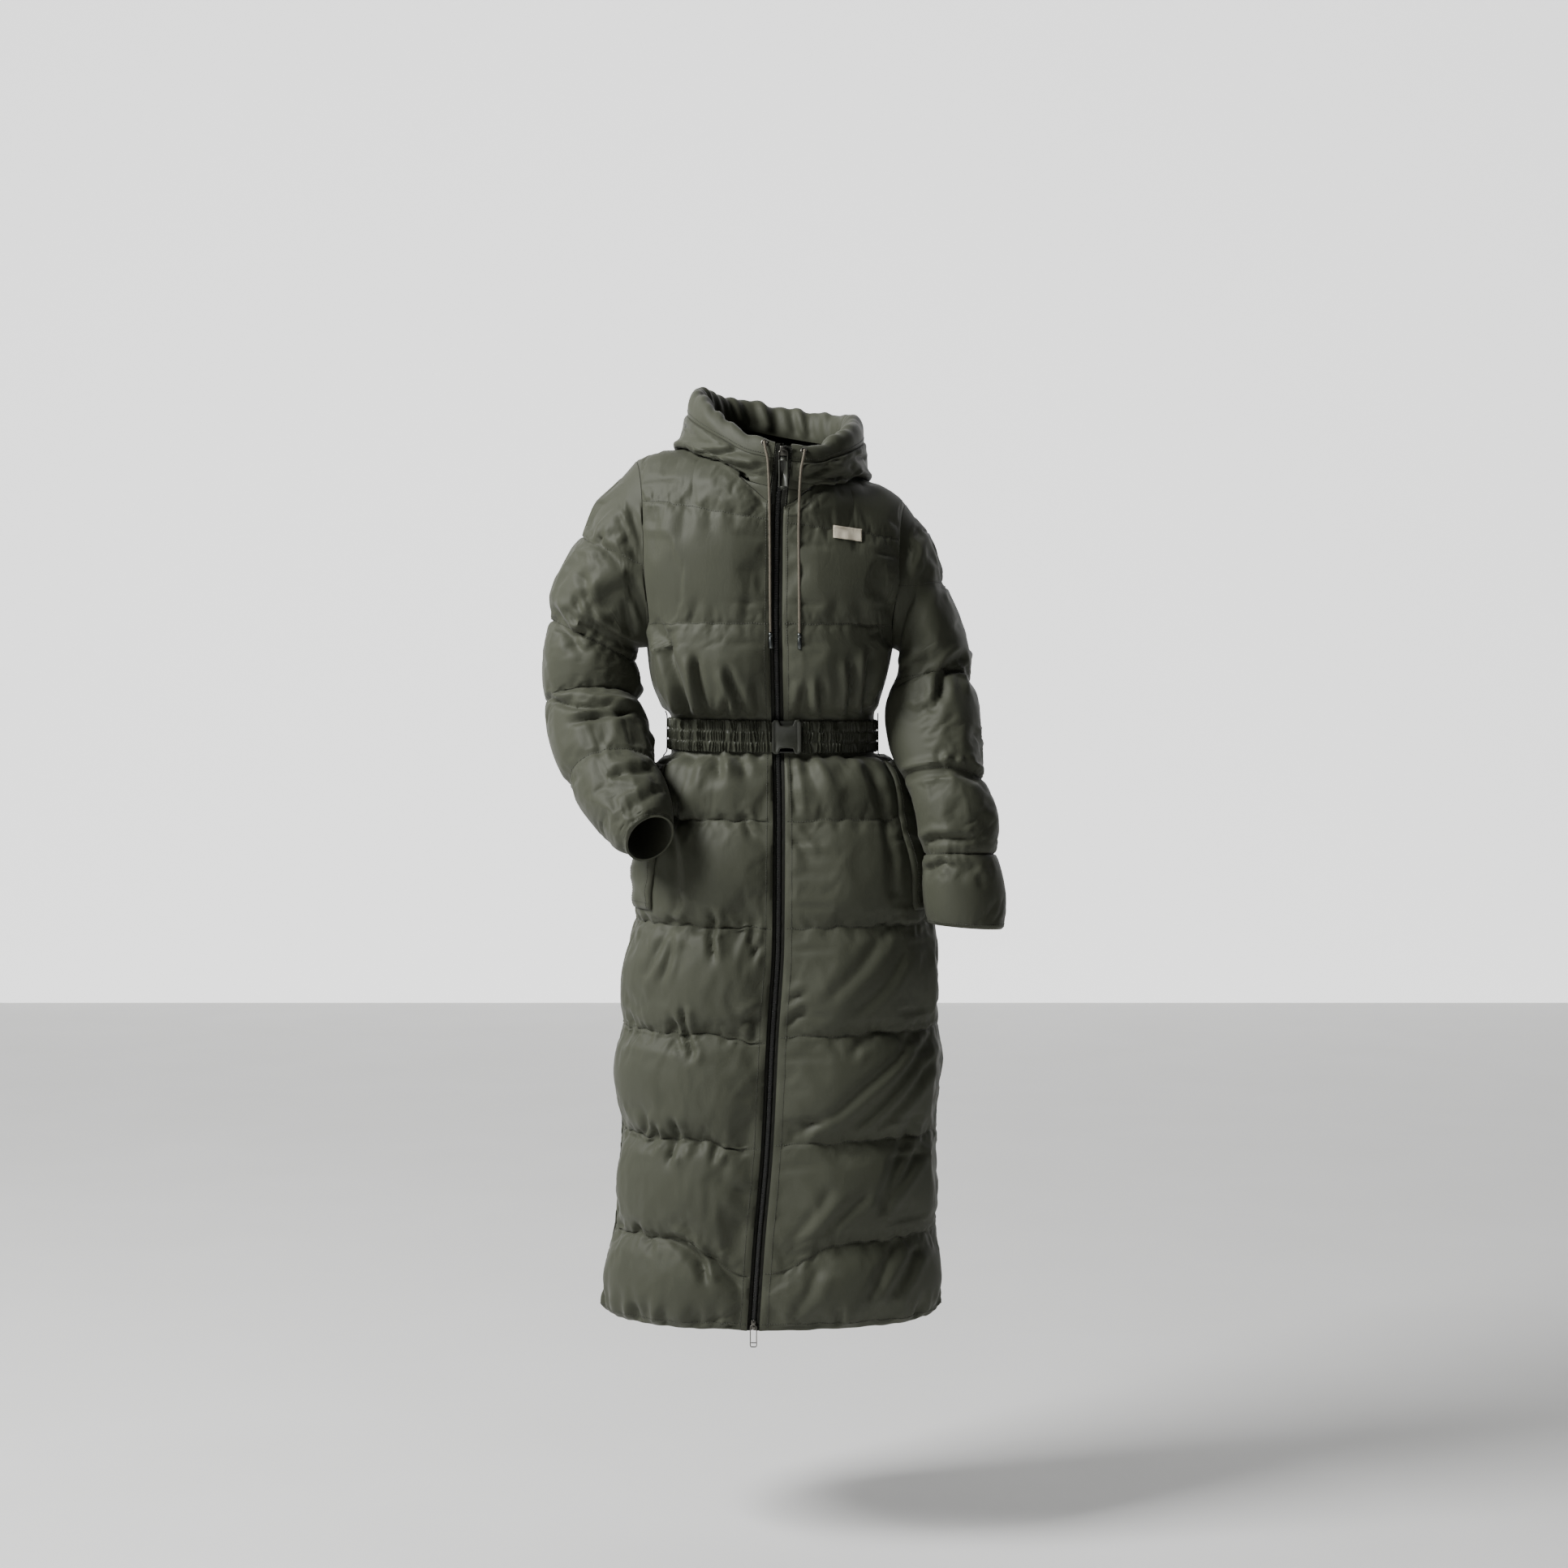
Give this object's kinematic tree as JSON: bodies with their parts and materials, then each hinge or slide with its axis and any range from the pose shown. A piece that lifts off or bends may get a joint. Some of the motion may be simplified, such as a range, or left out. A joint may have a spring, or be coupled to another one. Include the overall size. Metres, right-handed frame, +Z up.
{
  "type": "long belted puffer coat",
  "caption": "Long quilted puffer coat, zipped and belted, with the hood down; hollow as if worn, open at neck, hem and cuffs.",
  "frame": {"origin": "middle of the neck base, where the wearer's shoulders hold the coat up", "axes": "+Z up, -Y the coat's front, +X the wearer's left"},
  "size_m": [0.6145, 0.3851, 1.2738],
  "materials": {
    "quilted_cloth": "satin",
    "gathered_webbing": "satin",
    "vent_binding": "satin",
    "zip_tape_cloth": "matte",
    "zip_coil_nylon": "satin",
    "dark_metal": "satin",
    "cord_tip_metal": "satin",
    "dark_plastic": "satin",
    "sewing_thread": "matte",
    "cord_braid": "matte",
    "woven_label": "matte"
  },
  "bodies": {
    "coat": {"aglet_left": "cord_tip_metal", "aglet_right": "cord_tip_metal", "back": "quilted_cloth", "belt_band": "gathered_webbing", "belt_loop_left": "sewing_thread", "belt_loop_right": "sewing_thread", "buckle_plate": "dark_plastic", "buckle_tongue": "dark_plastic", "drawcord_left": "cord_braid", "drawcord_right": "cord_braid", "eyelet_left": "dark_metal", "eyelet_right": "dark_metal", "front_left": "quilted_cloth", "front_right": "quilted_cloth", "hood_centre": "quilted_cloth", "hood_rim": "quilted_cloth", "hood_side_left": "quilted_cloth", "hood_side_right": "quilted_cloth", "label_patch": "woven_label", "neck_insert_left": "quilted_cloth", "neck_insert_right": "quilted_cloth", "pocket_welt_left": "quilted_cloth", "pocket_welt_right": "quilted_cloth", "side_vent_left": "vent_binding", "side_vent_right": "vent_binding", "sleeve_left": "quilted_cloth", "sleeve_right": "quilted_cloth", "snap_left": "dark_metal", "snap_right": "dark_metal", "zip_coil": "zip_coil_nylon", "zip_slider_bottom": "dark_metal", "zip_slider_top": "dark_metal", "zip_tape_left": "zip_tape_cloth", "zip_tape_right": "zip_tape_cloth"},
    "pull_top": {"zip_pull_top": "dark_metal"},
    "pull_bottom": {"zip_pull_bottom": "dark_metal"}
  },
  "joints": [
    {"name": "zip_pull_top_swing", "type": "hinge", "parent": "coat", "child": "pull_top", "pos_m": [-0.00085, -0.12511, 0.01884], "axis": [-1, 0, 0], "range_deg": [0, 80]},
    {"name": "zip_pull_bottom_swing", "type": "hinge", "parent": "coat", "child": "pull_bottom", "pos_m": [-0.04033, -0.14859, -1.13], "axis": [-1, 0, 0], "range_deg": [0, 80]}
  ]
}
